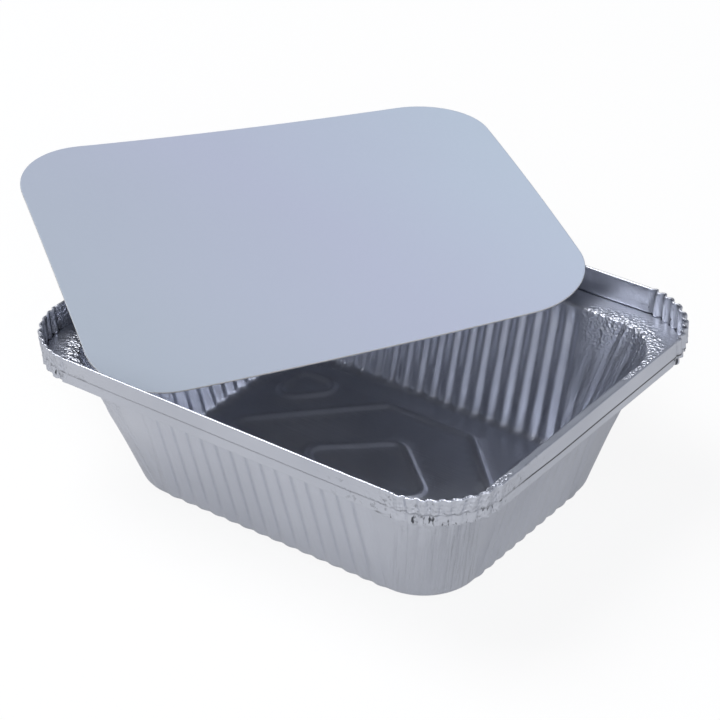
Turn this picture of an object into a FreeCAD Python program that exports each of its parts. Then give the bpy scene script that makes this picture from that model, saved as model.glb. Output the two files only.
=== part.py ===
import FreeCAD, Part
import math
import os

# Foil food container: a pressed foil tray with fluted walls, a stamped floor and a
# folded rim, and the separate flat board lid that lies askew on it. Millimetres.
# X runs along the tray's long side, Y across it, Z up, with the origin at the middle
# of the underside. The camera of the photograph stands towards +X and -Y.

Vector = FreeCAD.Vector
doc = FreeCAD.newDocument("foil_food_container")

# Driving dimensions
DIMENSIONS = {
    "rimLength": 147.0,
    "rimWidth": 121.0,
    "rimCorner": 20.4,
    "trayHeight": 49.0,
    "upstandHeight": 8.0,
    "ledgeWidth": 8.1,
    "ledgeCorner": 16.8,
    "wallTaper": 11.4,
    "floorCorner": 15.8,
    "floorFillet": 3.0,
    "foilGauge": 0.09,
    "hemDepth": 4.9,
    "hemGap": 0.25,
    "cornerPleats": 8,
    "pleatDepth": 0.3,
    "longFlutes": 15,
    "shortFlutes": 10,
    "fluteMargin": 0.7,
    "fluteDepth": 0.8,
    "flankShare": 0.55,
    "fluteRunout": 4.0,
    "fluteTopGap": 1.0,
    "cornerGathers": 5,
    "gatherDepth": 0.3,
    "gatherFoot": 0.05,
    "ribFoot": 3.4,
    "ribCrest": 1.0,
    "ribHeight": 0.8,
    "ribBend": 4.0,
    "ribBendSteps": 3,
    "diamondLength": 42.0,
    "diamondWidth": 36.0,
    "frameEndGap": 5.15,
    "frameSideGap": 6.65,
    "cornerRibLeg": 19.0,
    "lidClearance": 2.0,
    "lidCorner": 21.7,
    "lidBoard": 0.5,
    "lidBowLong": 1.4,
    "lidBowWide": -1.7,
    "lidTwist": -3.3,
    "lidFromLeftRim": 29.7,
    "lidFromBackRim": 32.6,
    "lidRise": 1.5,
    "lidTurn": 55.0,
    "lidTilt": 5.5,
}

sheet = doc.addObject("Spreadsheet::Sheet", "Dimensions")
for row, (alias, number) in enumerate(DIMENSIONS.items(), start=1):
    sheet.set(f"A{row}", alias)
    sheet.set(f"B{row}", str(number))
    sheet.setAlias(f"B{row}", alias)
doc.recompute()


def size(alias):
    return float(sheet.get(alias))


def count(alias):
    return int(round(size(alias)))


LEDGE_Z = size("trayHeight") - size("upstandHeight")
GAUGE = size("foilGauge")
WALL_ANGLE = math.atan2(LEDGE_Z, size("wallTaper"))
FLUTE_TOP = LEDGE_Z - size("fluteTopGap")
LID_LENGTH = size("rimLength") - 2 * size("lidClearance")
LID_WIDTH = size("rimWidth") - 2 * size("lidClearance")
FILLET_STEPS = 3
FLATNESS = 0.00001
UPRIGHT_SHARE = 0.99


# Outlines: level closed lists of points, counter-clockwise from the middle of the +X side.
# Creases are straight, as they are in pressed foil, so every face between them is flat.

def waved_corner(centre, radius, start, waves, depth):
    # a quarter turn gathered into sharp pleats, two creases to each
    step = math.pi / 2 / (2 * waves)
    points = []
    for crease in range(2 * waves + 1):
        angle = start + crease * step
        reach = radius + (0 if crease in (0, 2 * waves) else depth * (-1) ** crease)
        points.append(centre + Vector(reach * math.cos(angle), reach * math.sin(angle), 0))
    return points


def fluted_side(first, last, flutes, pitch, depth):
    # four creases to each flute: up to the crest, along it, down and along the trough
    along = (last - first).normalize()
    outwards = Vector(along.y, -along.x, 0)
    middle = (first + last) / 2
    flank, crest = pitch * size("flankShare") / 2, pitch * (1 - size("flankShare")) / 2
    points = []
    for index in range(flutes):
        start = middle + along * ((index - flutes / 2) * pitch + crest / 2)
        points += [start, start + along * flank + outwards * depth,
                   start + along * (flank + crest) + outwards * depth,
                   start + along * (2 * flank + crest)]
    return points


def inset_polygon(points, distance):
    # moves every side inwards by the same distance
    if not distance:
        return points
    moved = []
    for index, point in enumerate(points):
        before = (point - points[index - 1]).normalize()
        after = (points[(index + 1) % len(points)] - point).normalize()
        inwards = [Vector(-side.y, side.x, 0) for side in (before, after)]
        share = distance / (1 + inwards[0].dot(inwards[1]))
        moved.append(point + (inwards[0] + inwards[1]) * share)
    return moved


def outline(inset, radius, z, waves, depth, sides=()):
    # the rounded rectangle this far inside the rim
    x = size("rimLength") / 2 - inset - radius
    y = size("rimWidth") / 2 - inset - radius
    centres = [Vector(x, y, z), Vector(-x, y, z), Vector(-x, -y, z), Vector(x, -y, z)]
    corners = [waved_corner(centre, radius, quarter * math.pi / 2, waves, depth)
               for quarter, centre in enumerate(centres)]
    points = []
    for quarter, corner in enumerate(corners):
        points += corner
        if sides:
            points += fluted_side(corner[-1], corners[(quarter + 1) % 4][0], *sides[quarter % 2])
    return points


# Faces between outlines

def face_of(points):
    return Part.Face(Part.makePolygon(points + points[:1]))


def panel(corners):
    # a four-cornered face, creased across where its corners don't lie in one plane
    first, second, third, fourth = corners
    normal = (third - first).cross(fourth - second).normalize()
    if abs((second - first).dot(normal)) < FLATNESS:
        return [face_of(corners)]
    return [face_of([first, second, third]), face_of([first, third, fourth])]


def strip(low, high):
    faces = []
    for index in range(len(low)):
        faces += panel([low[index - 1], low[index], high[index], high[index - 1]])
    return faces


def flat_ring(outer, *holes):
    wires = [Part.makePolygon(points + points[:1]) for points in (outer, *holes)]
    return Part.makeFace(wires, "Part::FaceMakerBullseye").Faces


# The wall, walked from the flat floor round the fillet and up to the ledge

def wall_inset(z):
    return size("ledgeWidth") + size("wallTaper") * (1 - z / LEDGE_Z)


def floor_fillet():
    # the radius that the foil's outer face turns in, and how far inside the rim the flat floor ends
    fillet = size("floorFillet") + GAUGE
    top = fillet * (1 - math.cos(WALL_ANGLE))
    return fillet, wall_inset(top) + fillet * math.sin(WALL_ANGLE)


def wall_outline(inset, z, flute_depth, gather_depth, fluted=True):
    corner = size("ledgeCorner") + (size("floorCorner") - size("ledgeCorner")) * (1 - z / LEDGE_Z)
    radius = corner - (inset - wall_inset(z))
    taken = 2 * (wall_inset(0) + size("floorCorner") + size("fluteMargin"))
    sides = []
    for flutes, across in ((count("longFlutes"), "rimLength"), (count("shortFlutes"), "rimWidth")):
        sides.append((flutes, (size(across) - taken) / flutes, flute_depth))
    return outline(inset, radius, z, count("cornerGathers"), gather_depth, sides if fluted else ())


def wall_outlines(skin):
    # one face of the foil: the outer one where skin is 0, the inner one at the foil's gauge
    level_skin = skin / math.sin(WALL_ANGLE)
    fillet, fillet_inset = floor_fillet()
    outlines = []
    for step in range(FILLET_STEPS + 1):
        angle = WALL_ANGLE * step / FILLET_STEPS
        inset = fillet_inset - fillet * math.sin(angle)
        z = fillet - (fillet - skin) * math.cos(angle)
        points = wall_outline(inset, z, size("fluteDepth"), size("gatherFoot"))
        outlines.append(inset_polygon(points, skin * math.sin(angle)))
    depths = ((FLUTE_TOP - size("fluteRunout"), size("fluteDepth")), (FLUTE_TOP, 0))
    for z, flute_depth in depths:
        points = wall_outline(wall_inset(z), z, flute_depth, size("gatherDepth"))
        outlines.append(inset_polygon(points, level_skin))
    return outlines


def ledge_opening(skin):
    z = LEDGE_Z if skin else LEDGE_Z - GAUGE
    points = wall_outline(wall_inset(z), z, 0, size("gatherDepth"), False)
    return inset_polygon(points, skin / math.sin(WALL_ANGLE))


def wall_faces(skin):
    outlines = wall_outlines(skin)
    faces = []
    for low, high in zip(outlines, outlines[1:]):
        faces += strip(low, high)
    # above the flutes each side is one plain face, between the gathered corners
    low, high = outlines[-1], ledge_opening(skin)
    corner = 2 * count("cornerGathers") + 1
    start = 0
    for quarter in range(4):
        flutes = count("shortFlutes") if quarter % 2 else count("longFlutes")
        end = start + corner + 4 * flutes
        upper = high[quarter * corner:(quarter + 1) * corner]
        lower = low[start:start + corner]
        for crease in range(corner - 1):
            faces += panel([lower[crease], lower[crease + 1], upper[crease + 1], upper[crease]])
        following = high[(quarter + 1) * corner % len(high)]
        side = low[start + corner - 1:end] + [low[end % len(low)], following, upper[-1]]
        faces.append(face_of(side))
        start = end
    return faces


# The stamped floor

def rounded_loop(corners, z):
    # a closed loop with each corner cut into short straight steps round its bend
    bend, steps = size("ribBend"), count("ribBendSteps")
    points = [Vector(x, y, z) for x, y in corners]
    loop = []
    for index, point in enumerate(points):
        before = (points[index - 1] - point).normalize()
        after = (points[(index + 1) % len(points)] - point).normalize()
        half = before.getAngle(after) / 2
        centre = point + (before + after).normalize() * bend / math.sin(half)
        first = point + before * bend / math.tan(half) - centre
        turn = math.pi - 2 * half
        for step in range(steps + 1):
            angle = turn * step / steps
            turned = Vector(first.x * math.cos(angle) - first.y * math.sin(angle),
                            first.x * math.sin(angle) + first.y * math.cos(angle), 0)
            loop.append(centre + turned)
    return loop


def rib_corners():
    # counter-clockwise: the diamond, the long frame round it and a triangle in each corner
    inset = floor_fillet()[1]
    x = size("rimLength") / 2 - inset - size("frameEndGap")
    y = size("rimWidth") / 2 - inset - size("frameSideGap")
    shoulder = x - y
    frame = [(x, 0), (shoulder, y), (-shoulder, y), (-x, 0), (-shoulder, -y), (shoulder, -y)]
    long, wide = size("diamondLength") / 2, size("diamondWidth") / 2
    diamond = [(long, 0), (0, wide), (-long, 0), (0, -wide)]
    leg = size("cornerRibLeg")
    triangles = []
    for side, end in ((1, 1), (-1, 1), (-1, -1), (1, -1)):
        corners = [(side * x, end * y), (side * (x - leg), end * y), (side * x, end * (y - leg))]
        triangles.append(corners if side * end > 0 else corners[::-1])
    return diamond, frame, triangles


def floor_faces(edge, z, skin):
    # the level floor inside this outline, with its ribs pressed up; skin is 0 on the top
    # face and the foil's gauge on the underside
    slope = math.atan2(size("ribHeight"), (size("ribFoot") - size("ribCrest")) / 2)
    shrink = skin * math.tan(slope / 2)
    foot, crest = size("ribFoot") / 2 - shrink, size("ribCrest") / 2 - shrink
    lift = Vector(0, 0, size("ribHeight"))

    def rib(corners):
        loop = rounded_loop(corners, z)
        lines = [inset_polygon(loop, distance) for distance in (-foot, -crest, crest, foot)]
        lines[1] = [point + lift for point in lines[1]]
        lines[2] = [point + lift for point in lines[2]]
        for low, high in zip(lines, lines[1:]):
            faces.extend(strip(low, high))
        return lines[0], lines[-1]

    faces = []
    diamond, frame, triangles = rib_corners()
    diamond_outside, diamond_inside = rib(diamond)
    frame_outside, frame_inside = rib(frame)
    faces.append(face_of(diamond_inside))
    faces += flat_ring(frame_inside, diamond_outside)
    holes = [frame_outside]
    for triangle in triangles:
        outside, inside = rib(triangle)
        faces.append(face_of(inside))
        holes.append(outside)
    return faces + flat_ring(edge, *holes)


# The rim: ledge, upstand and the hem folded down outside it

def rim_outline(skin, z):
    points = outline(0, size("rimCorner"), z, count("cornerPleats"), size("pleatDepth"))
    return inset_polygon(points, skin)


def rim_faces():
    under = LEDGE_Z - GAUGE
    top = size("trayHeight")
    fold = top - GAUGE
    hem_foot = top - size("hemDepth")
    inside, outside, hem_inside, hem_outside = GAUGE, 0, -size("hemGap"), -size("hemGap") - GAUGE
    faces = flat_ring(rim_outline(inside, LEDGE_Z), ledge_opening(GAUGE))
    faces += flat_ring(rim_outline(outside, under), ledge_opening(0))
    faces += strip(rim_outline(inside, LEDGE_Z), rim_outline(inside, top))
    faces += flat_ring(rim_outline(hem_outside, top), rim_outline(inside, top))
    faces += strip(rim_outline(hem_outside, hem_foot), rim_outline(hem_outside, top))
    faces += flat_ring(rim_outline(hem_outside, hem_foot), rim_outline(hem_inside, hem_foot))
    faces += strip(rim_outline(hem_inside, hem_foot), rim_outline(hem_inside, fold))
    faces += flat_ring(rim_outline(hem_inside, fold), rim_outline(outside, fold))
    faces += strip(rim_outline(outside, under), rim_outline(outside, fold))
    return faces


def foil_tray_shape():
    # the foil's whole surface, inside and out, sewn into one solid
    faces = floor_faces(wall_outlines(0)[0], 0, GAUGE)
    faces += floor_faces(wall_outlines(GAUGE)[0], GAUGE, 0)
    faces += wall_faces(0) + wall_faces(GAUGE) + rim_faces()
    shell = Part.makeShell(faces)
    shell.sewShape()
    return Part.makeSolid(shell)


tray = doc.addObject("Part::Feature", "foil_tray")
tray.Label = "foil_tray"
tray.Shape = foil_tray_shape()
tray.Placement = FreeCAD.Placement()


# The lid: a die-cut blank, and the gently sprung board it is cut from

def sprung_board():
    # z follows the bow along, the bow across and the twist, exactly, over the blank
    square, line = (1, -1, 1), (-1, 0, 1)
    poles = []
    for i in range(3):
        row = []
        for j in range(3):
            z = (size("lidBowLong") * square[i] + size("lidBowWide") * square[j]
                 + size("lidTwist") * line[i] * line[j])
            row.append(Vector(line[i] * LID_LENGTH / 2, line[j] * LID_WIDTH / 2, z))
        poles.append(row)
    surface = Part.BezierSurface()
    surface.increase(2, 2)
    for i, row in enumerate(poles, start=1):
        for j, pole in enumerate(row, start=1):
            surface.setPole(i, j, pole)
    return surface.toShape().extrude(Vector(0, 0, size("lidBoard")))


def upright_edges(shape):
    upright = []
    for number, edge in enumerate(shape.Edges, start=1):
        along = edge.Vertexes[1].Point - edge.Vertexes[0].Point
        if abs(along.z) > along.Length * UPRIGHT_SHARE:
            upright.append(number)
    return upright


board = doc.addObject("Part::Feature", "sprung_board")
board.Shape = sprung_board()

blank = doc.addObject("Part::Box", "lid_blank")
blank.setExpression("Length", "Dimensions.rimLength - 2 * Dimensions.lidClearance")
blank.setExpression("Width", "Dimensions.rimWidth - 2 * Dimensions.lidClearance")
blank.setExpression("Height", "Dimensions.trayHeight")
blank.setExpression("Placement.Base.x", "-Length / 2")
blank.setExpression("Placement.Base.y", "-Width / 2")
blank.setExpression("Placement.Base.z", "-Height / 2")
doc.recompute()

die_line = doc.addObject("Part::Fillet", "lid_outline")
die_line.Base = blank
die_line.Edges = [(edge, size("lidCorner"), size("lidCorner")) for edge in upright_edges(blank.Shape)]

lid = doc.addObject("Part::MultiCommon", "board_lid")
lid.Label = "board_lid"
lid.Shapes = [board, die_line]
lid_turn = FreeCAD.Rotation(Vector(0, 0, 1), size("lidTurn"))
lid_tilt = FreeCAD.Rotation(Vector(1, 0, 0), size("lidTilt"))
lid_centre = Vector(size("lidFromLeftRim") - size("rimLength") / 2,
                    size("rimWidth") / 2 - size("lidFromBackRim"),
                    size("trayHeight") + size("lidRise"))
lid.Placement = FreeCAD.Placement(lid_centre, lid_turn * lid_tilt)
doc.recompute()


# Check and write

for item in doc.Objects:
    if {"Invalid", "Error"} & set(item.State):
        raise RuntimeError(f"{item.Label} did not recompute")
    if hasattr(item, "Shape") and (item.Shape.isNull() or not item.Shape.isValid()):
        raise RuntimeError(f"{item.Label} has no valid shape")

os.makedirs("parts", exist_ok=True)
for item in (tray, lid):
    if len(item.Shape.Solids) != 1:
        raise RuntimeError(f"{item.Label} is {len(item.Shape.Solids)} solids")
    item.Shape.exportStep(f"parts/{item.Label}.step")
    box = item.Shape.BoundBox
    print(item.Label, len(item.Shape.Faces), "faces", round(item.Shape.Volume, 1), "mm3",
          [round(v, 2) for v in (box.XMin, box.XMax, box.YMin, box.YMax, box.ZMin, box.ZMax)])
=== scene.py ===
import bpy
import math
import numpy as np
from mathutils import Matrix, Vector
from mathutils.geometry import delaunay_2d_cdt


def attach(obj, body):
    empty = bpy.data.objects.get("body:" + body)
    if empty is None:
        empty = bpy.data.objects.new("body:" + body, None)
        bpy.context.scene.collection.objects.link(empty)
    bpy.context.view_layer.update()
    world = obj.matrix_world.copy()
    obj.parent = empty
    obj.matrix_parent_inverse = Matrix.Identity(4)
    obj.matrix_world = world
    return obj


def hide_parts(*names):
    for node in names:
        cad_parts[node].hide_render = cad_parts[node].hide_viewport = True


# Foil food container: pressed foil tray with a loose board lid lying askew on it.
# Sizes are in millimetres until the meshes are made, then metres.

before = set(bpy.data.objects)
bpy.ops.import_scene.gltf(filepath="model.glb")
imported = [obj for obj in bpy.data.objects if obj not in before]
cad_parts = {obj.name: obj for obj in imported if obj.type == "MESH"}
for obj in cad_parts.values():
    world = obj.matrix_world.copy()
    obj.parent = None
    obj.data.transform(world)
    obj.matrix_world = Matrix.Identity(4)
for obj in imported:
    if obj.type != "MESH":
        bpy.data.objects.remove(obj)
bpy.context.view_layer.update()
mm = 0.001
print("frame with", len(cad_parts), "nodes")


# Small helpers

def newMesh(name, points, faces):
    mesh = bpy.data.meshes.new(name)
    mesh.from_pydata([tuple(p) for p in points], [], faces)
    mesh.validate()
    obj = bpy.data.objects.new(name, mesh)
    bpy.context.scene.collection.objects.link(obj)
    return obj


def addFloats(obj, name, values):
    attribute = obj.data.attributes.new(name, "FLOAT", "POINT")
    attribute.data.foreach_set("value", np.asarray(values, dtype=np.float32))


def addVectors(obj, name, values):
    attribute = obj.data.attributes.new(name, "FLOAT_VECTOR", "POINT")
    attribute.data.foreach_set("vector", np.asarray(values, dtype=np.float32).ravel())


def cornerCentres(x, y):
    # the four corners in the order an outline passes them
    return [(x, y), (-x, y), (-x, -y), (x, -y)]


class Tree:
    # thin wrapper that adds nodes and wires them in one call
    def __init__(self, nodeTree):
        self.tree = nodeTree

    def node(self, kind, settings=None, **inputs):
        made = self.tree.nodes.new(kind)
        for key, value in (settings or {}).items():
            setattr(made, key, value)
        for key, value in inputs.items():
            self.plug(made.inputs[key], value)
        return made

    def plug(self, socket, value):
        if isinstance(value, bpy.types.NodeSocket):
            self.tree.links.new(value, socket)
        elif value is not None:
            socket.default_value = value

    def math(self, operation, first, second=None, third=None):
        made = self.node("ShaderNodeMath", {"operation": operation})
        for index, value in enumerate((first, second, third)):
            self.plug(made.inputs[index], value)
        return made.outputs[0]

    def product(self, first, *others):
        for other in others:
            first = self.math("MULTIPLY", first, other)
        return first

    def vector(self, operation, first, second=None, scale=None):
        made = self.node("ShaderNodeVectorMath", {"operation": operation})
        self.plug(made.inputs[0], first)
        if second is not None:
            self.plug(made.inputs[1], second)
        if scale is not None:
            self.plug(made.inputs["Scale"], scale)
        return made.outputs["Value" if operation in ("DISTANCE", "DOT_PRODUCT") else "Vector"]

    def axis(self, vector, name):
        return self.node("ShaderNodeSeparateXYZ", None, Vector=vector).outputs[name]

    def remap(self, value, low, high, toLow=0.0, toHigh=1.0, kind="SMOOTHSTEP"):
        made = self.node("ShaderNodeMapRange", {"interpolation_type": kind})
        for index, number in enumerate((value, low, high, toLow, toHigh)):
            self.plug(made.inputs[index], number)
        return made.outputs[0]

    def mix(self, kind, share, first, second):
        made = self.node("ShaderNodeMix", {"data_type": kind})
        ends = (2, 3) if kind == "FLOAT" else (6, 7)
        self.plug(made.inputs[0], share)
        self.plug(made.inputs[ends[0]], first)
        self.plug(made.inputs[ends[1]], second)
        return made.outputs[0 if kind == "FLOAT" else 2]

    def noise(self, place, scale, detail=2.0, roughness=0.5, seed=None, output=0):
        made = self.node("ShaderNodeTexNoise", None, Vector=place, Scale=scale,
                         Detail=detail, Roughness=roughness)
        if seed is not None:
            made.noise_dimensions = "4D"
            self.plug(made.inputs["W"], seed)
        return made.outputs[output]

    # the rest is for materials only

    def attribute(self, name, output="Fac"):
        return self.node("ShaderNodeAttribute", {"attribute_name": name}).outputs[output]

    def mapping(self, place, scale, rotation=(0, 0, 0)):
        return self.node("ShaderNodeMapping", None, Vector=place, Scale=scale, Rotation=rotation).outputs[0]

    def ramp(self, value, stops):
        made = self.node("ShaderNodeValToRGB", None, Fac=value)
        elements = made.color_ramp.elements
        while len(elements) < len(stops):
            elements.new(0.5)
        for element, (place, colour) in zip(elements, stops):
            element.position = place
            element.color = (*colour, 1)
        return made.outputs[0]

    def bump(self, height, distance, strength=1.0, under=None):
        made = self.node("ShaderNodeBump", None, Height=height, Distance=distance, Strength=strength)
        self.plug(made.inputs["Normal"], under)
        return made.outputs[0]


# Tray outline: every row goes round the same way, so row after row joins into quads

tray = {
    "length": 147.0, "width": 121.0, "height": 49.0, "rimCorner": 20.4,
    "upstand": 8.0, "ledge": 8.1, "ledgeCorner": 16.8,
    "lip": 0.8,  # the wall turns out this far below the ledge
    "crease": 0.06,  # sharp fold at the upstand's foot
    "taper": 11.4, "floorCorner": 15.8, "fillet": 3.0,
    "hemDepth": 4.9, "hemGap": 0.2, "bead": 0.3,
    "longFlutes": 15, "shortFlutes": 10, "fluteMargin": 0.7,
    "pointsPerFlute": 8, "pointsPerCorner": 64, "pointsPerMargin": 4,
    "cornerReach": 16.0,  # a corner's creases fade out over this much of the side next to it
    # the wall is crumpled from here up, this hard under the ledge, and by this power of the rise
    "gripFoot": 24.0, "wallGrip": 0.55, "gripRise": 1.5,
    "girthRadius": 83.0,  # a circle about as long as the rim, which the draw lines are laid out on
    "ribHalfWidth": 1.8, "ribBend": 4.0, "frameLength": 93.0, "frameWidth": 64.0,
    "diamondLength": 42.0, "diamondWidth": 36.0, "cornerRibLeg": 19.0,
}
ledgeZ = tray["height"] - tray["upstand"]
wallAngle = math.atan2(ledgeZ, tray["taper"])
noFlute = -1.0  # flute number of a point that no flute passes


def wallInset(z):
    return tray["ledge"] + tray["taper"] * (1 - z / ledgeZ)


def wallCorner(inset, z):
    corner = tray["ledgeCorner"] + (tray["floorCorner"] - tray["ledgeCorner"]) * (1 - z / ledgeZ)
    return corner - (inset - wallInset(z))


def rowPoints(inset, radius, z):
    # for each point: place, outward direction, flutes passed so far, turn round a corner,
    # and how far it is onto a straight side, from 0 to 1
    centres = cornerCentres(tray["length"] / 2 - inset - radius, tray["width"] / 2 - inset - radius)
    taken = 2 * (wallInset(0) + tray["floorCorner"] + tray["fluteMargin"])
    points, outwards, phases, turns, sides = [], [], [], [], []
    for quarter, (cx, cy) in enumerate(centres):
        start = quarter * math.pi / 2
        count = tray["pointsPerCorner"]
        for step in range(count):
            angle = start + math.pi / 2 * step / count
            direction = (math.cos(angle), math.sin(angle), 0)
            points.append((cx + radius * direction[0], cy + radius * direction[1], z))
            outwards.append(direction)
            phases.append(noFlute)
            turns.append(step / count)
            sides.append(0.0)
        angle = start + math.pi / 2
        along = Vector((-math.sin(angle), math.cos(angle), 0))
        outward = Vector((math.cos(angle), math.sin(angle), 0))
        nextX, nextY = centres[(quarter + 1) % 4]
        first = Vector((cx, cy, z)) + outward * radius
        last = Vector((nextX, nextY, z)) + outward * radius
        flutes = tray["shortFlutes"] if quarter % 2 else tray["longFlutes"]
        full = (tray["width"] if quarter % 2 else tray["length"]) - taken
        half = (last - first).length / 2
        margin = tray["pointsPerMargin"]
        spots = list(np.linspace(-half, -full / 2, margin, endpoint=False))
        spots += list(np.linspace(-full / 2, full / 2, flutes * tray["pointsPerFlute"] + 1))
        spots += list(np.linspace(full / 2, half, margin + 1))[1:-1]
        middle = (first + last) / 2
        rounding = 0.001
        for spot in spots:
            points.append(tuple(middle + along * spot))
            outwards.append(tuple(outward))
            fluted = abs(spot) <= full / 2 + rounding
            phases.append((spot + full / 2) / full * flutes if fluted else noFlute)
            turns.append(0.0)
            sides.append(max(0.0, min(1.0, (half - abs(spot)) / tray["cornerReach"])))
    return points, outwards, phases, turns, sides


def sectionRows():
    # (inset, corner radius, z, zone, hem reach, grip) from the floor's edge up the wall, over the ledge
    # and round the hem; grip says how hard the die crumpled the foil there
    rows = []
    fillet, lip, corner = tray["fillet"], tray["lip"], tray["rimCorner"]
    lipGrip, creaseGrip, upstandGrip, beadGrip, hemGrip = 0.9, 0.1, 0.08, 0.1, 0.15
    filletTop = fillet * (1 - math.cos(wallAngle))
    filletInset = wallInset(filletTop) + fillet * math.sin(wallAngle)
    filletSteps = 6
    for step in range(filletSteps + 1):
        angle = wallAngle * step / filletSteps
        z = fillet * (1 - math.cos(angle))
        inset = filletInset - fillet * math.sin(angle)
        rows.append((inset, wallCorner(inset, z), z, "wall", 0.0, 0.0))
    wallRows = 20
    for z in np.linspace(filletTop, ledgeZ - lip, wallRows)[1:]:
        rise = max(0.0, (z - tray["gripFoot"]) / (ledgeZ - tray["gripFoot"]))
        grip = tray["wallGrip"] * rise ** tray["gripRise"]
        rows.append((wallInset(z), wallCorner(wallInset(z), z), float(z), "wall", 0.0, grip))
    lipSteps, lipDrop, lipReach = 3, 0.9, 1.2
    for step in range(1, lipSteps + 1):
        turn = wallAngle * step / lipSteps
        z = ledgeZ - lip * (1 - math.sin(turn)) * lipDrop
        inset = wallInset(ledgeZ - lip) - lip * lipReach * (1 - math.cos(turn))
        rows.append((inset, wallCorner(inset, ledgeZ), z, "lip", 0.0, lipGrip))
    startInset, startCorner = rows[-1][0], rows[-1][1]
    # share of the way out over the ledge, and the grip there
    ledgeGrips = ((0.12, 1.0), (0.25, 0.8), (0.4, 0.35), (0.55, 0.14),
                  (0.7, 0.08), (0.81, 0.06), (0.9, 0.06))
    for share, grip in ledgeGrips:
        radius = startCorner + (corner - startCorner) * share
        rows.append((startInset * (1 - share), radius, ledgeZ, "ledge", 0.0, grip))
    crease = tray["crease"]
    rows.append((crease, corner - crease, ledgeZ, "rim", 0.0, ledgeGrips[-1][1]))
    rows.append((crease / 3, corner - crease / 3, ledgeZ + crease / 3, "rim", 0.0, creaseGrip))
    rows.append((0.0, corner, ledgeZ + crease, "rim", 0.0, creaseGrip))
    bead = tray["bead"]
    beadZ = tray["height"] - bead
    upstandRows, aboveCrease = 9, 0.5
    for z in np.linspace(ledgeZ + aboveCrease, beadZ, upstandRows):
        rows.append((0.0, corner, float(z), "rim", 0.0, upstandGrip))
    beadSteps = 6
    for step in range(1, beadSteps):
        angle = math.pi * step / beadSteps
        out = bead * (1 - math.cos(angle))
        rows.append((-out, corner + out, beadZ + bead * math.sin(angle), "rim", 0.0, beadGrip))
    hemRows = 8
    for share in np.linspace(0, 1, hemRows):
        out = 2 * bead + (tray["hemGap"] - 2 * bead) * math.sin(share * math.pi / 2)
        z = beadZ + (tray["height"] - tray["hemDepth"] - beadZ) * share
        rows.append((-out, corner + out, z, "hem", float(share), hemGrip))
    return rows


# The stamped floor: rib loops laid into a triangulated patch inside the first row

def roundedLoop(corners, bend):
    bendStep, straightStep = 0.6, 1.5
    loop = []
    for index, corner in enumerate(corners):
        point = Vector(corner)
        before = (Vector(corners[index - 1]) - point).normalized()
        after = (Vector(corners[(index + 1) % len(corners)]) - point).normalized()
        half = before.angle(after) / 2
        centre = point + (before + after).normalized() * bend / math.sin(half)
        first = point + before * bend / math.tan(half) - centre
        turn = math.pi - 2 * half
        steps = max(4, int(turn * bend / bendStep))
        for step in range(steps + 1):
            loop.append(centre + Matrix.Rotation(turn * step / steps, 2) @ first)
    dense = []
    for index, point in enumerate(loop):
        following = loop[(index + 1) % len(loop)]
        parts = max(1, round((following - point).length / straightStep))
        dense += [point.lerp(following, part / parts) for part in range(parts)]
    return dense


def offsetLoop(loop, distance):
    moved = []
    for index, point in enumerate(loop):
        before = (point - loop[index - 1]).normalized()
        after = (loop[(index + 1) % len(loop)] - point).normalized()
        inwards = Vector((-before.y, before.x)) + Vector((-after.y, after.x))
        moved.append(point + inwards * distance / (1 + before.dot(after)))
    return moved


def ribLoops():
    # the long frame, the diamond in it, and a triangle in each corner
    x, y = tray["frameLength"] / 2, tray["frameWidth"] / 2
    shoulder = x - y
    loops = [[(x, 0), (shoulder, y), (-shoulder, y), (-x, 0), (-shoulder, -y), (shoulder, -y)]]
    long, wide = tray["diamondLength"] / 2, tray["diamondWidth"] / 2
    loops.append([(long, 0), (0, wide), (-long, 0), (0, -wide)])
    leg = tray["cornerRibLeg"]
    for side, end in cornerCentres(1, 1):
        corners = [(side * x, end * y), (side * (x - leg), end * y), (side * x, end * (y - leg))]
        loops.append(corners if side * end > 0 else corners[::-1])
    return [roundedLoop(corners, tray["ribBend"]) for corners in loops]


def floorPatch(ring):
    # all points of the floor, their rib heights from 0 to 1, the triangles, and which given point each one is
    outline = [Vector((p[0], p[1])) for p in ring]
    points, heights = list(outline), [0.0] * len(outline)
    loops = ribLoops()
    halfWidth = tray["ribHalfWidth"]
    for loop in loops:
        for share in (-1, -0.66, -0.33, 0, 0.33, 0.66, 1):
            for point in offsetLoop(loop, share * halfWidth):
                points.append(point)
                heights.append(0.5 + 0.5 * math.cos(math.pi * share))
    ribs = np.array([tuple(p) for loop in loops for p in loop])
    limits = np.abs(np.array([tuple(p) for p in outline])).max(axis=0)
    # between the ribs a plain grid, clear of them and of the floor's rounded corners
    gridStep, ribClearance, cornerSquare, cornerRadius = 2.6, 1.2, 13.0, 11.8
    for x in np.arange(-limits[0], limits[0], gridStep):
        for y in np.arange(-limits[1], limits[1], gridStep):
            here = np.array((x, y))
            if np.hypot(*(ribs - here).T).min() < halfWidth + ribClearance:
                continue
            if np.hypot(*np.maximum(np.abs(here) - (limits - cornerSquare), 0)) > cornerRadius:
                continue
            points.append(Vector((x, y)))
            heights.append(0.0)
    edges = [(i, (i + 1) % len(outline)) for i in range(len(outline))]
    onlyInside, snap = 1, 0.0001
    verts, _, faces, origin, _, _ = delaunay_2d_cdt(points, edges, [], onlyInside, snap)
    sources = [found[0] if found else 0 for found in origin]
    return verts, [heights[source] for source in sources], faces, sources


def linePlace(turn, length):
    # where a point is for the draw lines: round the tray and down its section
    radius = tray["girthRadius"]
    return (radius * math.cos(turn), radius * math.sin(turn), length)


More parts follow.
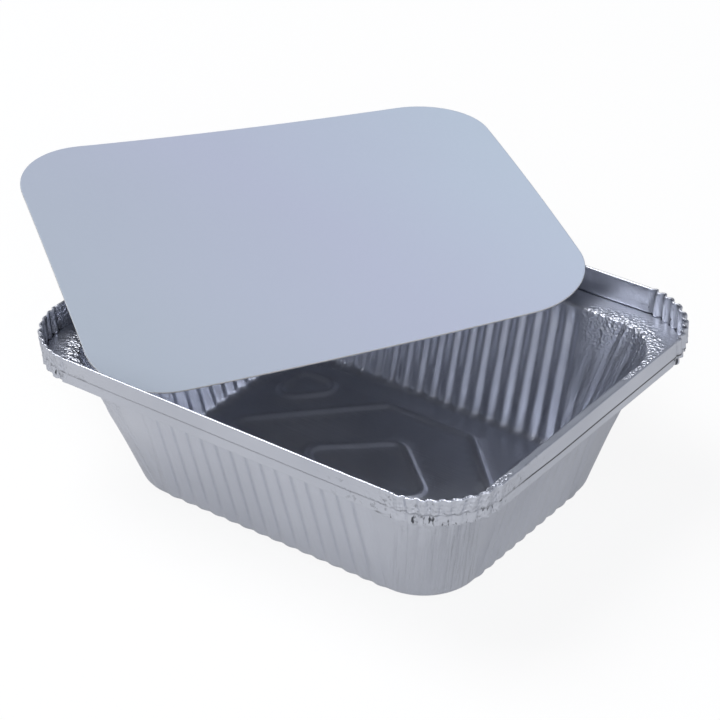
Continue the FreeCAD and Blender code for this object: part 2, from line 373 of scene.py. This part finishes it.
def traySheet():
    # the foil as one sheet, its faces turned to the outside, with the attributes the tree reads
    rows = sectionRows()
    ring = rowPoints(*rows[0][:3])[0]
    count = len(ring)
    points, outwards, phases, turns, sides = [], [], [], [], []
    wall, lip, rim, hem, grips, drawPlace = [], [], [], [], [], []
    length = 0.0
    for index, (inset, radius, z, zone, reach, grip) in enumerate(rows):
        if index:
            length += math.hypot(inset - rows[index - 1][0], z - rows[index - 1][2])
        made = rowPoints(inset, radius, z)
        for target, values in zip((points, outwards, phases, turns, sides), made):
            target += values
        wall += [1.0 if zone == "wall" else 0.0] * count
        lip += [1.0 if zone in ("lip", "ledge") else 0.0] * count
        rim += [1.0 if zone in ("rim", "hem") else 0.0] * count
        hem += [reach] * count
        grips += [grip] * count
        drawPlace += [linePlace(2 * math.pi * step / count, length) for step in range(count)]
    faces = []
    for row in range(len(rows) - 1):
        for step in range(count):
            following = (step + 1) % count
            low, high = row * count, (row + 1) * count
            faces.append((low + step, low + following, high + following, high + step))
    verts, heights, triangles, sources = floorPatch(ring)
    number = {}
    ribHeights = [0.0] * len(points)
    for index, (vert, height, source) in enumerate(zip(verts, heights, sources)):
        if source < count:
            number[index] = source
            continue
        number[index] = len(points)
        points.append((vert.x, vert.y, 0.0))
        outwards.append((0.0, 0.0, 0.0))
        ribHeights.append(height)
        drawPlace.append(linePlace(math.atan2(vert.y, vert.x), 0.0))
        for values, blank in ((phases, noFlute), (turns, 0.0), (sides, 1.0), (wall, 0.0),
                              (lip, 0.0), (rim, 0.0), (hem, 0.0), (grips, 0.0)):
            values.append(blank)
    for triangle in triangles:
        faces.append(tuple(number[i] for i in reversed(triangle)))
    sheet = newMesh("foilTray", np.array(points) * mm, faces)
    addVectors(sheet, "outward", outwards)
    addVectors(sheet, "drawPlace", drawPlace)
    named = {"flutePhase": phases, "cornerTurn": turns, "side": sides, "wallZone": wall, "lipZone": lip,
             "rimZone": rim, "hemReach": hem, "grip": grips, "ribShape": ribHeights}
    for name, values in named.items():
        addFloats(sheet, name, values)
    return sheet


# Geometry Nodes: presses the relief into the sheet and gives the foil its thickness

relief = {
    "Flute Depth": 0.85 * mm, "Flute Run-out": (ledgeZ - 4.5) * mm, "Flute Top": (ledgeZ - 1.0) * mm,
    "Flute Foot": 5.5 * mm, "Foot Share": 0.5,  # below the foot a flute fades to this share of its depth
    "Gathers": 7.0, "Gather Depth": 0.45 * mm, "Gather Foot": 6.0 * mm, "Gather Top": (ledgeZ - 1.0) * mm,
    "Pleats": 9.0, "Pleat Depth": 1.0 * mm, "Pleat Ends": 0.08,
    "Rib Height": 1.0 * mm, "Crumple": 0.7 * mm, "Dents": 0.18 * mm,
    "Dent Foot": 0.5 * mm, "Dent Full": 6.0 * mm, "Floor Dents": 0.15,  # dents fade to this at the floor
    "Hem Flare": 0.5 * mm, "Gauge": 0.09 * mm, "Seed": 4.0,
}
unevenness = {  # noise scale, and how much it shifts the folds or changes their depth
    "gatherPlace": (45.0, 0.12), "gatherDepth": (160.0, 3.0),
    "pleatPlace": (60.0, 0.22), "pleatDepth": (110.0, 2.0),
}
foilNoise = {"crumple": (420.0, 2.0, 0.6), "dents": (38.0, 1.5, 0.5)}  # scale, detail, roughness
handledEffect = {  # what handling takes from or gives to the rim, as shares
    "flareLost": 0.9, "hemPressed": 0.2, "pleatLost": 0.45, "rimWorn": 0.6, "hemWorn": 0.4,
}
handledCorners = [  # rim corners that were squeezed: middle, radius of full effect, radius of no effect
    ((58 * mm, -46 * mm, 46 * mm), 14 * mm, 34 * mm),
    ((-66 * mm, -52 * mm, 46 * mm), 12 * mm, 26 * mm),
]


def reliefTree(material):
    nodeTree = bpy.data.node_groups.new("pressedFoil", "GeometryNodeTree")
    panel = nodeTree.interface
    panel.new_socket("Geometry", in_out="INPUT", socket_type="NodeSocketGeometry")
    for name in relief:
        panel.new_socket(name, in_out="INPUT", socket_type="NodeSocketFloat")
    panel.new_socket("Geometry", in_out="OUTPUT", socket_type="NodeSocketGeometry")
    t = Tree(nodeTree)
    group = t.node("NodeGroupInput")
    size = {name: group.outputs[name] for name in relief}

    def named(name, kind="FLOAT"):
        made = t.node("GeometryNodeInputNamedAttribute", {"data_type": kind})
        made.inputs["Name"].default_value = name
        return made.outputs["Attribute"]

    position = t.node("GeometryNodeInputPosition").outputs[0]
    height = t.axis(position, "Z")
    outward = named("outward", "FLOAT_VECTOR")
    phase, turn = named("flutePhase"), named("cornerTurn")
    wall, lip, rim, hem = named("wallZone"), named("lipZone"), named("rimZone"), named("hemReach")
    onCorner = t.math("LESS_THAN", named("side"), 0.0001)
    nearCorner = t.remap(named("side"), 0.0, 1.0, 1.0, 0.0)
    handled = 0.0
    for place, core, end in handledCorners:
        distance = t.vector("DISTANCE", position, place)
        handled = t.math("MAXIMUM", handled, t.remap(distance, core, end, 1.0, 0.0))

    def wave(value, cycles):
        angle = t.product(value, t.product(cycles, 2 * math.pi))
        return t.math("MULTIPLY_ADD", t.math("COSINE", angle), -0.5, 0.5)

    def swing(scale, detail):
        return t.math("SUBTRACT", t.noise(position, scale, detail, seed=size["Seed"]), 0.5)

    def wander(value, name):
        scale, share = unevenness[name]
        return t.math("ADD", value, t.product(swing(scale, 0.0), share))

    def uneven(name):
        scale, share = unevenness[name]
        return t.math("MULTIPLY_ADD", swing(scale, 1.0), share, 1.0)

    def less(share):
        return t.math("MULTIPLY_ADD", handled, -share, 1.0)

    def shake(name, strength):
        colour = t.noise(position, *foilNoise[name], size["Seed"], "Color")
        return t.vector("SCALE", t.vector("SUBTRACT", colour, (0.5, 0.5, 0.5)), scale=strength)

    # flutes on the straight walls, run out just under the ledge and shallow at the floor's edge
    runOut = t.remap(height, size["Flute Run-out"], size["Flute Top"], 1.0, 0.0)
    runOut = t.product(runOut, t.remap(height, 0.0, size["Flute Foot"], size["Foot Share"], 1.0))
    fluted = t.math("GREATER_THAN", phase, noFlute / 2)
    flute = t.product(wave(phase, 1.0), t.product(wall, runOut), fluted)
    push = t.product(flute, size["Flute Depth"])

    # gathers down the corner cones, deepest under the ledge and uneven
    gather = wave(wander(turn, "gatherPlace"), size["Gathers"])
    gather = t.product(gather, t.remap(height, size["Gather Foot"], size["Gather Top"]))
    gather = t.product(gather, uneven("gatherDepth"), t.math("ADD", wall, lip))
    push = t.math("ADD", push, t.product(gather, onCorner, size["Gather Depth"]))

    # pleats round the rim's corners, uneven in depth, and flatter where the corner was handled
    pleat = t.remap(wave(wander(turn, "pleatPlace"), size["Pleats"]), 0.15, 0.85)
    pleatShadeMask = t.product(pleat, onCorner)
    pleat = t.product(t.math("SUBTRACT", pleat, 0.5), uneven("pleatDepth"))
    lastPleat = t.math("SUBTRACT", 1.0, size["Pleat Ends"])
    ends = t.product(t.remap(turn, 0.0, size["Pleat Ends"]), t.remap(turn, lastPleat, 1.0, 1.0, 0.0))
    pleat = t.product(pleat, ends, t.product(rim, onCorner), less(handledEffect["pleatLost"]))
    push = t.math("ADD", push, t.product(pleat, size["Pleat Depth"]))

    # the hem stands off a little along the right side and is pressed flat at the handled corners
    flare = t.product(t.remap(t.axis(outward, "X"), 0.0, 0.95), less(handledEffect["flareLost"]))
    flare = t.math("SUBTRACT", flare, t.product(handled, handledEffect["hemPressed"]))
    push = t.math("ADD", push, t.product(hem, flare, size["Hem Flare"]))
    offset = t.vector("SCALE", outward, scale=push)

    # ribs stamped up into the floor
    rib = t.node("ShaderNodeCombineXYZ", None, Z=t.product(named("ribShape"), size["Rib Height"]))
    offset = t.vector("ADD", offset, rib.outputs[0])

    # crumpled foil where the corners were drawn or handled, and soft dents everywhere, faint on the floor
    wornAndShaded = t.math("MULTIPLY_ADD", hem, handledEffect["hemWorn"], t.product(rim, handledEffect["rimWorn"]))
    wornAndShaded = t.product(wornAndShaded, handled)
    gripped = t.math("ADD", t.product(named("grip"), nearCorner), wornAndShaded)
    offset = t.vector("ADD", offset, shake("crumple", t.product(gripped, size["Crumple"])))
    firm = t.remap(height, size["Dent Foot"], size["Dent Full"], size["Floor Dents"], 1.0)
    offset = t.vector("ADD", offset, shake("dents", t.product(size["Dents"], firm)))

    # the pleat mask and the handled mask are stored for the material, which paints shade with them; the
    # handled mask also crumples the foil here
    kept = group.outputs["Geometry"]
    for name, value in (("pleatShade", pleatShadeMask), ("wornAndShaded", wornAndShaded)):
        kept = t.node("GeometryNodeStoreNamedAttribute", {"data_type": "FLOAT", "domain": "POINT"},
                      Geometry=kept, Name=name, Value=value).outputs[0]
    moved = t.node("GeometryNodeSetPosition", None, Geometry=kept, Offset=offset)
    inner = t.node("GeometryNodeExtrudeMesh", {"mode": "FACES"}, Mesh=moved.outputs[0],
                   **{"Offset Scale": t.product(size["Gauge"], -1.0), "Individual": False})
    inner = t.node("GeometryNodeFlipFaces", None, Mesh=inner.outputs["Mesh"])
    both = t.node("GeometryNodeJoinGeometry")
    nodeTree.links.new(moved.outputs[0], both.inputs[0])
    nodeTree.links.new(inner.outputs[0], both.inputs[0])
    weld = 0.002 * mm
    merged = t.node("GeometryNodeMergeByDistance", None, Geometry=both.outputs[0], Distance=weld)
    smooth = t.node("GeometryNodeSetShadeSmooth", None, Geometry=merged.outputs[0], **{"Shade Smooth": True})
    real = t.node("GeometryNodeRealizeInstances", None, Geometry=smooth.outputs[0])
    dressed = t.node("GeometryNodeSetMaterial", None, Geometry=real.outputs[0], Material=material)
    end = t.node("NodeGroupOutput")
    nodeTree.links.new(dressed.outputs[0], end.inputs[0])
    return nodeTree


def applyTree(obj, nodeTree, values):
    modifier = obj.modifiers.new("relief", "NODES")
    modifier.node_group = nodeTree
    for item in nodeTree.interface.items_tree:
        if item.in_out == "INPUT" and item.name in values:
            modifier[item.identifier] = values[item.name]
    depsgraph = bpy.context.evaluated_depsgraph_get()
    plain = bpy.data.meshes.new_from_object(obj.evaluated_get(depsgraph))
    obj.modifiers.remove(modifier)
    obj.data = plain


# Materials

def newMaterial(name):
    material = bpy.data.materials.new(name)
    material.use_nodes = True
    material.node_tree.nodes.clear()
    t = Tree(material.node_tree)
    shader = t.node("ShaderNodeBsdfPrincipled")
    output = t.node("ShaderNodeOutputMaterial", None, Surface=shader.outputs[0])
    return material, t, shader, output


foilLook = {
    # crease is the dark colour of painted shade on the foil: in creases, on pleat flanks, in crumpled specks
    # and under the hem's foot
    "grey": (0.66, 0.685, 0.76), "pale": (0.74, 0.765, 0.84), "crease": (0.10, 0.105, 0.12),
    "roughness": (0.29, 0.37),  # below about 0.28 the denoiser leaves blotches
    "waves": 0.6 * mm, "wrinkles": 2.2 * mm, "lines": 0.24 * mm, "crinkles": 0.6 * mm,
    # how the patterns are squeezed: lines and wrinkles run along the axis with the small number
    "drawLines": (1.0, 1.0, 0.05), "rollLines": (22.0, 1500.0, 22.0),
    "wrinkleShape": (0.2, 0.2, 0.03), "wrinkleSlant": (0.12, 0.12, 0), "creaseShape": (0.55, 0.55, 0.3),
    "facets": 1050.0, "specks": 420.0, "dull": 30.0, "sheen": 140.0,
    "creaseFoot": (ledgeZ - 1.5, ledgeZ + 0.2), "creaseTop": (ledgeZ + 2.0, ledgeZ + 4.5),
    # where along x the painted shadow line under the hem's foot falls
    "hemFootShadow": (tray["length"] / 2 + 0.2, tray["length"] / 2 + 0.5),
}


def foilMaterial():
    material, t, shader, output = newMaterial("rolledFoil")
    coords = t.node("ShaderNodeTexCoord").outputs["Object"]
    wall, rim, wornAndShaded = t.attribute("wallZone"), t.attribute("rimZone"), t.attribute("wornAndShaded")
    outward = t.attribute("outward", "Vector")
    drawPlace = t.attribute("drawPlace", "Vector")
    nearCorner = t.remap(t.attribute("side"), 0.0, 1.0, 1.0, 0.0)
    upright = t.math("MAXIMUM", wall, rim)
    cone = t.product(wall, nearCorner)

    # draw lines run down the walls, rolling lines run along the flat foil
    drawLines = t.noise(t.mapping(drawPlace, foilLook["drawLines"]), 1.0, 4.0, 0.65)
    rollLines = t.noise(t.mapping(coords, foilLook["rollLines"]), 1.0, 3.0, 0.6)
    lines = t.mix("FLOAT", upright, rollLines, drawLines)

    # crinkles: sharp small facets where the foil was gathered, and broad slanting wrinkles below them
    cells = t.node("ShaderNodeTexVoronoi", {"feature": "F1"}, Vector=coords, Scale=foilLook["facets"])
    crinkles = t.product(cells.outputs["Distance"], 0.8)
    crinkles = t.math("ADD", crinkles, t.product(t.noise(coords, 1100.0, 3.0, 0.7), 0.6))
    wrinkles = t.mapping(drawPlace, foilLook["wrinkleShape"], foilLook["wrinkleSlant"])
    wrinkles = t.noise(wrinkles, 1.0, 2.0, 0.55)
    gripped = t.product(t.attribute("grip"), nearCorner, 1.3)
    gripped = t.math("MULTIPLY_ADD", cone, 0.08, gripped)
    gripped = t.math("MINIMUM", t.math("MULTIPLY_ADD", wornAndShaded, 0.45, gripped), 1.0)
    lineStrength = t.math("MULTIPLY_ADD", t.product(upright, nearCorner), 0.6, 0.3)

    normal = t.bump(t.noise(coords, 55.0, 1.0), foilLook["waves"], 0.35)
    normal = t.bump(wrinkles, foilLook["wrinkles"], t.product(cone, 0.6), normal)
    normal = t.bump(lines, foilLook["lines"], lineStrength, normal)
    normal = t.bump(crinkles, foilLook["crinkles"], gripped, normal)
    t.plug(shader.inputs["Normal"], normal)

    # painted shade: short dark creases where the gathered foil turns out under the rim
    height = t.product(t.axis(coords, "Z"), 1 / mm)
    creaseShade = t.remap(t.noise(t.mapping(drawPlace, foilLook["creaseShape"]), 1.0, 2.0), 0.6, 0.68)
    band = t.remap(height, *foilLook["creaseFoot"])
    band = t.product(band, t.remap(height, *foilLook["creaseTop"], 1.0, 0.0))
    paintedShade = t.product(creaseShade, band, t.product(rim, nearCorner))
    # painted shade: pleats inside the upstand are darkened on their far flanks, and dark specks of shade are
    # painted where the handled foil is crumpled
    facing = t.vector("DOT_PRODUCT", t.node("ShaderNodeNewGeometry").outputs["True Normal"], outward)
    inside = t.product(rim, t.math("LESS_THAN", facing, 0.0))
    paintedShade = t.math("MAXIMUM", paintedShade, t.product(t.attribute("pleatShade"), inside, 0.6))
    specks = t.product(wornAndShaded, t.remap(t.noise(coords, foilLook["specks"], 3.0, 0.6), 0.58, 0.7))
    paintedShade = t.math("MAXIMUM", paintedShade, t.product(specks, 0.7))
    # painted shadow: a dark line at the hem's foot along the right side, where the hem stands off the upstand
    rightSide = t.remap(t.product(t.axis(coords, "X"), 1 / mm), *foilLook["hemFootShadow"])
    hemFootShadow = t.product(t.remap(t.attribute("hemReach"), 0.88, 0.92), rightSide)
    paintedShade = t.math("MAXIMUM", paintedShade, t.product(hemFootShadow, 0.9))

    dull = t.noise(coords, foilLook["dull"], 3.0)
    colour = t.ramp(dull, ((0.3, foilLook["grey"]), (0.7, foilLook["pale"])))
    t.plug(shader.inputs["Base Color"], t.mix("RGBA", paintedShade, colour, (*foilLook["crease"], 1)))
    shader.inputs["Metallic"].default_value = 1.0
    sheen = t.noise(coords, foilLook["sheen"], 3.0)
    t.plug(shader.inputs["Roughness"], t.remap(sheen, 0.3, 0.7, *foilLook["roughness"]))
    return material


boardLook = {
    # coat: the coated side's colours, from the shaded to the lit end of the painted shading
    "coat": ((0.0, (0.390, 0.440, 0.510)), (0.5, (0.440, 0.475, 0.595)), (1.0, (0.480, 0.555, 0.660))),
    "pulp": ((0.35, (0.55, 0.54, 0.52)), (0.65, (0.66, 0.65, 0.63))),
    "roughness": (0.42, 0.55), "waves": 1.2 * mm, "grain": 0.05 * mm,
    # direction and span of the painted shading across the lid, then how far the tint wanders at random
    "shadeWay": (0.2, 0.98, 0.0), "shadeFrom": -0.06, "shadeTo": 0.1, "driftWander": 0.35,
    "grainScale": 700.0, "pulpScale": 1400.0, "waveScale": 26.0, "driftScale": 11.0,
}


def boardMaterial():
    material, t, shader, output = newMaterial("lidBoard")
    coords = t.node("ShaderNodeTexCoord").outputs["Object"]
    # painted shading: the coat runs from darker to paler across the blank, and its tint also wanders at
    # random; bare pulp shows at the cut edge and below
    across = t.vector("DOT_PRODUCT", coords, boardLook["shadeWay"])
    across = t.remap(across, boardLook["shadeFrom"], boardLook["shadeTo"], 0.0, 1.0, "LINEAR")
    drift = t.math("SUBTRACT", t.noise(coords, boardLook["driftScale"], 1.0), 0.5)
    drift = t.product(drift, boardLook["driftWander"])
    coat = t.ramp(t.math("ADD", across, drift), boardLook["coat"])
    pulp = t.ramp(t.noise(coords, boardLook["pulpScale"], 3.0, 0.6), boardLook["pulp"])
    t.plug(shader.inputs["Base Color"], t.mix("RGBA", t.attribute("coated"), pulp, coat))
    grain = t.noise(coords, boardLook["grainScale"], 4.0, 0.7)
    normal = t.bump(t.noise(coords, boardLook["waveScale"], 2.0), boardLook["waves"], 0.25)
    t.plug(shader.inputs["Normal"], t.bump(grain, boardLook["grain"], 0.5, normal))
    t.plug(shader.inputs["Roughness"], t.remap(grain, 0.3, 0.7, *boardLook["roughness"]))
    shader.inputs["Metallic"].default_value = 0.0
    return material


# The tray

sheet = traySheet()
applyTree(sheet, reliefTree(foilMaterial()), relief)
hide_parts("foil_tray")
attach(sheet, "root")
print("tray", len(sheet.data.polygons), "faces")


# The board lid, bowed and twisted a little, lying on the rim at two places with one corner inside it

lid = {
    "length": 143.0, "width": 117.0, "corner": 21.7, "board": 0.5,
    "edge": 0.12, "edgeFlat": 0.3, "cutLow": 0.6, "cutHigh": 0.8,  # worn cut edge, its ends as shares
    "bowLong": 1.4, "bowWide": -1.7, "twist": -3.3,
    "centre": (-43.8, 27.9, 50.5), "turn": 55.0, "tilt": 5.5,
    "pointsPerCorner": 24, "pointsPerSide": 30,
}


def lidRing(inset):
    radius = lid["corner"] - inset
    centres = cornerCentres(lid["length"] / 2 - lid["corner"], lid["width"] / 2 - lid["corner"])
    ring = []
    for quarter, (cx, cy) in enumerate(centres):
        for step in range(lid["pointsPerCorner"] + 1):
            angle = math.pi / 2 * (quarter + step / lid["pointsPerCorner"])
            ring.append(Vector((cx + radius * math.cos(angle), cy + radius * math.sin(angle))))
        following = centres[(quarter + 1) % 4]
        angle = math.pi / 2 * (quarter + 1)
        last = Vector((following[0] + radius * math.cos(angle), following[1] + radius * math.sin(angle)))
        first = ring[-1]
        ring += [first.lerp(last, step / lid["pointsPerSide"]) for step in range(1, lid["pointsPerSide"])]
    return ring


def lidHeight(p):
    u, v = 2 * p.x / lid["length"], 2 * p.y / lid["width"]
    return lid["bowLong"] * u * u + lid["bowWide"] * v * v + lid["twist"] * u * v


def lidMesh():
    # rings from the underside's middle out to the edge, up the cut edge, and back over the coated top
    board, edge = lid["board"], lid["edge"]
    shares = [0.12, 0.25, 0.4, 0.55, 0.7, 0.83, 0.93]
    outer = lidRing(0.0)
    inner = lidRing(edge)
    flat = lidRing(edge + lid["edgeFlat"])
    count = len(outer)
    points, coated, faces = [], [], []

    def addRing(ring, z, coat):
        for p in ring:
            points.append(Vector((p.x, p.y, lidHeight(p) + z)))
            coated.append(coat)

    for share in shares:
        addRing([p * share for p in inner], 0.0, 0.0)
    addRing(flat, 0.0, 0.0)
    addRing(inner, 0.0, 0.0)
    addRing(outer, edge * lid["cutLow"], 0.0)
    addRing(outer, board - edge * lid["cutHigh"], 0.0)
    addRing(inner, board, 1.0)
    addRing(flat, board, 1.0)
    for share in reversed(shares):
        addRing([p * share for p in inner], board, 1.0)
    rings = len(points) // count
    for row in range(rings - 1):
        for step in range(count):
            following = (step + 1) % count
            a, b = row * count, (row + 1) * count
            faces.append((a + step, a + following, b + following, b + step))
    for z, coat, first, flip in ((0.0, 0.0, 0, True), (board, 1.0, (rings - 1) * count, False)):
        centre = len(points)
        points.append(Vector((0, 0, z)))
        coated.append(coat)
        for step in range(count):
            pair = (first + step, first + (step + 1) % count)
            faces.append((centre, pair[1], pair[0]) if flip else (centre, pair[0], pair[1]))
    turn = Matrix.Rotation(math.radians(lid["turn"]), 4, "Z")
    tilt = Matrix.Rotation(math.radians(lid["tilt"]), 4, "X")
    place = Matrix.Translation(Vector(lid["centre"])) @ (turn @ tilt)
    made = newMesh("boardLid", [(place @ p) * mm for p in points], faces)
    addFloats(made, "coated", coated)
    for polygon in made.data.polygons:
        polygon.use_smooth = True
    return made


board = lidMesh()
board.data.materials.append(boardMaterial())
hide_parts("board_lid")
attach(board, "root")
print("lid", len(board.data.polygons), "faces")


# Stage: white floor that keeps a faint shadow, soft studio light, grey ceiling for the foil to reflect

studio = {
    "floorReach": 6.0, "floorDrop": 0.4 * mm,
    "floorShade": 0.45, "floorSeen": 0.53,  # floor's grey, and how much paler the camera sees it
    "glowSeen": 0.88, "glowReflected": 0.3,  # share of plain white to the camera, and in the foil
    "ceiling": ((0.0, (1.0, 1.0, 1.0)), (0.35, (0.55, 0.57, 0.62)), (1.0, (0.27, 0.28, 0.32))),
    "ceilingRise": (-0.02, 0.5),  # of a look's direction, over which the ceiling's colours run
    "farSide": (0.27, 0.28, 0.31), "frontWay": (0.6, -0.8, 0.0), "dimming": (-0.7, 0.1),
}
softboxes = {
    "topBox": {"place": (-0.6, -0.25, 1.45), "aim": (0, 0, 0),
               "side": 1.0, "power": 18, "tint": (1.0, 1.0, 1.0)},
    "frontBox": {"place": (1.0, -1.2, 0.8), "aim": (0, 0, 0.03),
                 "side": 0.9, "power": 9, "tint": (0.97, 0.98, 1.0)},
}


def stageFloor():
    material, t, shader, output = newMaterial("paleFloor")
    path = t.node("ShaderNodeLightPath").outputs
    shade = t.math("MULTIPLY_ADD", path["Is Camera Ray"], studio["floorSeen"], studio["floorShade"])
    t.plug(shader.inputs["Base Color"], shade)
    shader.inputs["Roughness"].default_value = 0.9
    shader.inputs["Specular IOR Level"].default_value = 0.0
    reflected = t.math("MAXIMUM", path["Is Glossy Ray"], path["Is Transmission Ray"])
    reflected = t.product(reflected, studio["glowReflected"])
    seen = t.math("MAXIMUM", t.product(path["Is Camera Ray"], studio["glowSeen"]), reflected)
    glow = t.node("ShaderNodeEmission", None, Color=(1, 1, 1, 1), Strength=1.0)
    mix = t.node("ShaderNodeMixShader", None, Fac=seen)
    t.plug(mix.inputs[1], shader.outputs[0])
    t.plug(mix.inputs[2], glow.outputs[0])
    t.plug(output.inputs["Surface"], mix.outputs[0])
    corners = cornerCentres(studio["floorReach"], studio["floorReach"])
    floor = newMesh("stageFloor", [(x, y, -studio["floorDrop"]) for x, y in corners], [(0, 1, 2, 3)])
    floor.data.materials.append(material)
    return floor


def studioWorld():
    world = bpy.data.worlds.new("studio")
    bpy.context.scene.world = world
    world.use_nodes = True
    world.node_tree.nodes.clear()
    t = Tree(world.node_tree)
    direction = t.node("ShaderNodeTexCoord").outputs["Generated"]
    rise = t.remap(t.axis(direction, "Z"), *studio["ceilingRise"], 0.0, 1.0, "LINEAR")
    ceiling = t.ramp(rise, studio["ceiling"])
    # the far side of the room is dim, so level foil reflects grey
    towardsFront = t.vector("DOT_PRODUCT", direction, studio["frontWay"])
    dim = t.remap(towardsFront, *studio["dimming"], 1.0, 0.0)
    room = t.mix("RGBA", dim, ceiling, (*studio["farSide"], 1))
    path = t.node("ShaderNodeLightPath").outputs
    seen = t.mix("RGBA", path["Is Camera Ray"], room, (1, 1, 1, 1))
    background = t.node("ShaderNodeBackground", None, Color=seen, Strength=1.0)
    t.node("ShaderNodeOutputWorld", None, Surface=background.outputs[0])


def softbox(name, box):
    light = bpy.data.lights.new(name, "AREA")
    light.shape = "RECTANGLE"
    light.size = light.size_y = box["side"]
    light.energy = box["power"]
    light.color = box["tint"]
    obj = bpy.data.objects.new(name, light)
    obj.location = box["place"]
    obj.rotation_euler = (Vector(box["aim"]) - Vector(box["place"])).to_track_quat("-Z", "Y").to_euler()
    bpy.context.scene.collection.objects.link(obj)


stageFloor()
studioWorld()
for name, box in softboxes.items():
    softbox(name, box)
print("stage with", len(softboxes), "softboxes")


# Camera where the photograph was taken from

shot = {
    "place": (0.3900, -0.5176, 0.4404), "aim": (-0.01247, 0.01502, 0.025), "roll": -0.84,
    "lens": 140.0, "sensor": 36.0, "clipStart": 0.01,
}
camera = bpy.data.objects.new("camera", bpy.data.cameras.new("camera"))
bpy.context.scene.collection.objects.link(camera)
look = (Vector(shot["aim"]) - Vector(shot["place"])).to_track_quat("-Z", "Y").to_matrix().to_4x4()
roll = Matrix.Rotation(math.radians(shot["roll"]), 4, "Z")
camera.matrix_world = Matrix.Translation(Vector(shot["place"])) @ look @ roll
camera.data.sensor_width = shot["sensor"]
camera.data.lens = shot["lens"]
camera.data.clip_start = shot["clipStart"]
bpy.context.scene.camera = camera
bpy.context.scene.view_settings.view_transform = "Standard"
print("camera")
